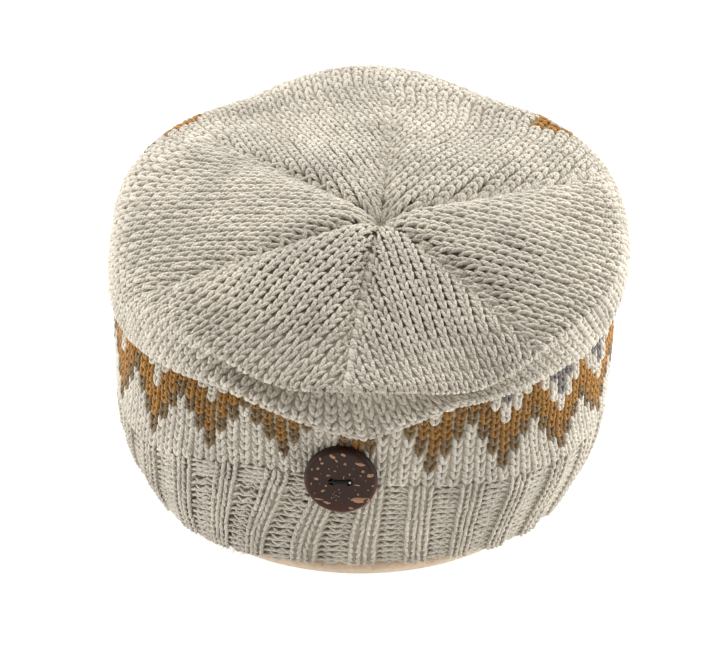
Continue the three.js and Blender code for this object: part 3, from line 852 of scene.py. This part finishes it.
# Flecks in the shell: centre across and up, width, height in millimetres, turn in degrees
FLECKS = [
    (7.0, -6.6, 6.2, 1.8, 3), (10.1, 3.2, 2.2, 1.3, 4), (6.6, 7.3, 3.2, 1.1, -10),
    (-2.7, 9.8, 2.1, 1.2, -35), (-1.4, 8.2, 1.5, 0.5, -50), (0.9, 10.6, 1.6, 0.9, -30),
    (-6.8, 8.6, 0.8, 1.1, 10), (-6.2, 7.0, 1.1, 0.8, 0), (-7.6, 4.9, 1.0, 0.9, 30),
    (-9.6, 4.5, 0.6, 0.8, 0), (1.5, 7.1, 0.9, 0.9, 20), (-1.9, 4.2, 1.0, 0.45, 5),
    (3.1, 3.2, 0.6, 0.9, 10), (-4.2, 2.4, 1.4, 0.6, -3), (-8.1, 0.9, 1.8, 0.9, -12),
    (-9.8, -1.0, 0.45, 1.0, 5), (-4.9, -1.7, 0.8, 0.7, 0), (5.7, -0.8, 1.9, 0.55, -6),
    (10.9, -0.8, 0.7, 0.8, 0), (7.6, 4.6, 1.0, 1.0, 45), (6.8, 2.9, 0.6, 0.45, 0),
    (1.1, 1.9, 0.35, 1.4, -12), (-5.9, -3.6, 1.4, 0.8, 35), (-0.5, -2.8, 0.5, 0.4, 0),
    (-2.4, -4.8, 0.4, 0.4, 0), (-1.4, -5.3, 0.55, 0.35, 0), (-0.5, -5.6, 0.35, 0.5, 0),
    (-1.4, -7.0, 0.45, 0.4, 0), (-2.9, -6.2, 0.4, 0.5, 0), (-0.1, -4.1, 0.35, 0.35, 0),
    (-2.1, -5.9, 0.3, 0.3, 0), (-1.9, -3.9, 0.3, 0.4, 0), (6.0, -4.4, 0.5, 0.9, 8),
    (9.4, -2.5, 0.5, 0.6, 0), (-7.2, -6.9, 2.8, 0.6, -8), (-4.4, -8.2, 2.4, 0.9, -14),
    (3.6, -9.9, 1.7, 0.8, -8), (-3.9, 5.0, 0.4, 0.5, 0), (-8.7, -4.6, 0.5, 0.4, 0),
    (4.4, 5.4, 0.35, 0.35, 0), (-1.0, 6.1, 0.3, 0.4, 0), (8.6, 1.0, 0.4, 0.3, 0),
    (-6.6, 3.0, 0.3, 0.3, 0), (2.9, -6.0, 0.3, 0.4, 0), (5.0, -2.7, 0.3, 0.3, 0),
    (-3.4, -0.2, 0.35, 0.3, 0), (4.6, 1.6, 0.3, 0.3, 0), (-6.9, -1.0, 0.3, 0.35, 0),
]
FLECK_SIDES = 14


def face_height(x, y):
    """Height of the button's slightly hollow face."""
    return float(np.interp(math.hypot(x, y), [0, 7, 11.0, 11.61], [4.25, 4.25, 4.3, 4.116]))


def flecks_piece():
    """Each fleck is a low patch: its middle, a ring sunk into the face and a ring on it."""
    verts, loops, sizes = [], [], []
    turn = np.arange(FLECK_SIDES) * 2 * np.pi / FLECK_SIDES
    for x, y, width, height, degrees in FLECKS:
        r = 1 + RNG.uniform(-0.22, 0.22, FLECK_SIDES)
        px, py = r * width / 2 * np.cos(turn), r * height / 2 * np.sin(turn)
        c, s = math.cos(math.radians(degrees)), math.sin(math.radians(degrees))
        px, py = x + px * c - py * s, y + px * s + py * c
        first = len(verts)
        sunk, rim = first + 1, first + 1 + FLECK_SIDES
        verts.append((x, y, face_height(x, y) + 0.07))
        verts += [(u, w, face_height(u, w) - 0.03) for u, w in zip(x + (px - x) * 1.08, y + (py - y) * 1.08)]
        verts += [(u, w, face_height(u, w) + 0.05) for u, w in zip(px, py)]
        for j in range(FLECK_SIDES):
            k = (j + 1) % FLECK_SIDES
            loops += [first, rim + j, rim + k, rim + j, sunk + j, sunk + k, rim + k]
            sizes += [3, 4]
    return make_mesh("button_flecks", to_button(np.array(verts)), np.array(loops), sizes)


def thread_piece():
    """Four strands of black thread over the bridge between the holes and down into them."""
    s = np.linspace(-1, 1, 15)
    centres = []
    for lane, lift in ((-0.5, 0.0), (-0.16, 0.16), (0.2, 0.12), (0.54, -0.04)):
        x = np.sign(s) * np.minimum(np.abs(s) * 4.9, HOLE_OFFSET + 0.25) + 0.1 * lane
        z = BUTTON["thickness"] + lift - np.maximum(np.abs(s) - 0.5, 0) * 8.0
        y = lane * (1 - 0.3 * np.abs(s)) + 0.05 * np.sin(s * 3)
        centres.append(np.stack([x, y, z], -1))
    c = np.array(centres)
    right, upward, out, middle = button_axes()
    p = middle + c[..., :1] * right + c[..., 1:2] * upward + c[..., 2:] * out
    up = np.broadcast_to(upward, p.shape)
    lift = unit(np.cross(up, unit(np.gradient(p, axis=1))))
    tone = np.repeat(linear((30, 28, 28))[None], len(c), 0)
    radius = np.full(c.shape[:2], THREAD_RADIUS)
    return mesh_from_tubes("sewing_thread", p, up, lift, radius, tone, sides=8, flat=1.0)


def neps_and_glint_piece():
    """Small pale balls of unspun wool in the stitches, and a pale ball in the right hole that is a painted
    highlight for the glint there.
    """
    right, up, out, middle = button_axes()
    sites = []
    for az, fabric, size in ((-18.5, 47.0, 1.2), (-42.0, 41.0, 1.0), (-52.0, 36.0, 0.8), (24.0, 41.0, 0.6)):
        p, n = frame_on(WALL_TABLE, np.array([az]), np.array([fabric]))
        sites.append((p[0] + n[0] * 1.5, n[0], size))
    # A pale ball at the right hole: a painted highlight standing for the glint on it.
    sites.append((middle + right * (HOLE_OFFSET + 0.35) - up * 0.1 + out * 3.9, out, 0.75))
    centres, normals, radii = [], [], []
    s = np.linspace(-1, 1, 5)[:, None]
    for place, n, size in sites:
        for _ in range(5):
            heading = unit(RNG.normal(0, 1, 3) + 0.2 * n)
            centres.append(place + heading * s * size * 0.6)
            normals.append(np.repeat(n[None], 5, 0))
            radii.append(size * 0.62 * np.array([0.35, 0.8, 1.0, 0.8, 0.35]))
    tone = np.repeat(linear((236, 230, 218))[None], len(centres), 0)
    return loose_tubes("wool_neps_and_painted_glint", np.array(centres), np.array(normals), np.array(radii), tone, 8)


wool = wool_material()
knit_pieces.append(neps_and_glint_piece())
for piece in knit_pieces:
    piece.data.materials.append(wool)
    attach(piece, "root")
# The solids under the stitches are a darker oatmeal: the fabric under the legs, and painted shade in the gaps
# between the stitches.
shaded_ground = plain_material("wool_ground_painted_shade", (176, 166, 149), 1.0, 0.05)
for name in ("crown", "rib_band", "side_wall"):
    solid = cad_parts[name]
    solid.data.materials.clear()
    solid.data.materials.append(shaded_ground)
for piece, finish, stands_for, slot_name in (
        (lining_piece(), fleece_material(), "lining_band", "fleece"),
        (button_piece(), shell_material(), "button", "coconut_shell"),
        (flecks_piece(), plain_material("fleck", (166, 128, 98), 0.7, 0.15), None, "coconut_shell"),
        (thread_piece(), plain_material("black_thread", (12, 10, 10), 0.5, 0.25), "button_thread", "thread")):
    piece.data.materials.clear()
    piece.data.materials.append(finish)
    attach(piece, "root")
    if stands_for:
        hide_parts(stands_for)

# Floor, light and camera
FLOOR_REACH = 4         # metres to each side
scene = bpy.context.scene
floor = bpy.data.objects.new("floor", bpy.data.meshes.new("floor"))
corners = [(FLOOR_REACH * x, FLOOR_REACH * y, 0) for x, y in ((-1, -1), (1, -1), (1, 1), (-1, 1))]
floor.data.from_pydata(corners, [], [(0, 1, 2, 3)])
scene.collection.objects.link(floor)
floor_mat, _, floor_shader = material("floor", 0.9, 0.1)
floor_shader.inputs["Base Color"].default_value = (0.7, 0.7, 0.7, 1)
floor_shader.inputs["Emission Color"].default_value = (1, 1, 1, 1)
floor_shader.inputs["Emission Strength"].default_value = 0.75
floor.data.materials.append(floor_mat)

world = scene.world or bpy.data.worlds.new("world")
scene.world = world
world.use_nodes = True
sky = world.node_tree.nodes["Background"]
sky.inputs[0].default_value = (1, 0.97, 0.93, 1)
sky.inputs[1].default_value = 0.26


def area(name, place, aim, size, power):
    data = bpy.data.lights.new(name, "AREA")
    data.size = size
    data.energy = power
    lamp = bpy.data.objects.new(name, data)
    lamp.location = place
    lamp.rotation_mode = "QUATERNION"
    direction = Vector(aim) - Vector(place)
    lamp.rotation_quaternion = direction.to_track_quat("-Z", "Y")
    scene.collection.objects.link(lamp)


area("top_back", (0.05, 0.95, 0.95), (0, 0, 0.06), 2.0, 24.0)
area("left", (-1.15, 0.42, 0.15), (0, 0, 0.05), 1.7, 39.0)
area("right", (1.15, 0.36, 0.08), (0, 0, 0.05), 1.7, 48.0)

ELEVATION, DISTANCE = math.radians(34), 950.0
SENSOR, FOCAL_PIXELS, PHOTO_WIDTH = 36.0, 2612.5, 720
AIM = (-0.73, -0.92, 53.64)
target = np.array([AIM[0] - MIDDLE[0], AIM[1] - MIDDLE[1], AIM[2]])
eye = target + DISTANCE * np.array([0, -math.cos(ELEVATION), math.sin(ELEVATION)])
camera = bpy.data.objects.new("camera", bpy.data.cameras.new("camera"))
camera.data.sensor_width = SENSOR
camera.data.lens = FOCAL_PIXELS / PHOTO_WIDTH * SENSOR
camera.data.clip_start = 0.05
camera.location = eye * MM
camera.rotation_euler = (math.pi / 2 - ELEVATION, 0, 0)
scene.collection.objects.link(camera)
scene.camera = camera
scene.view_settings.view_transform = "Standard"
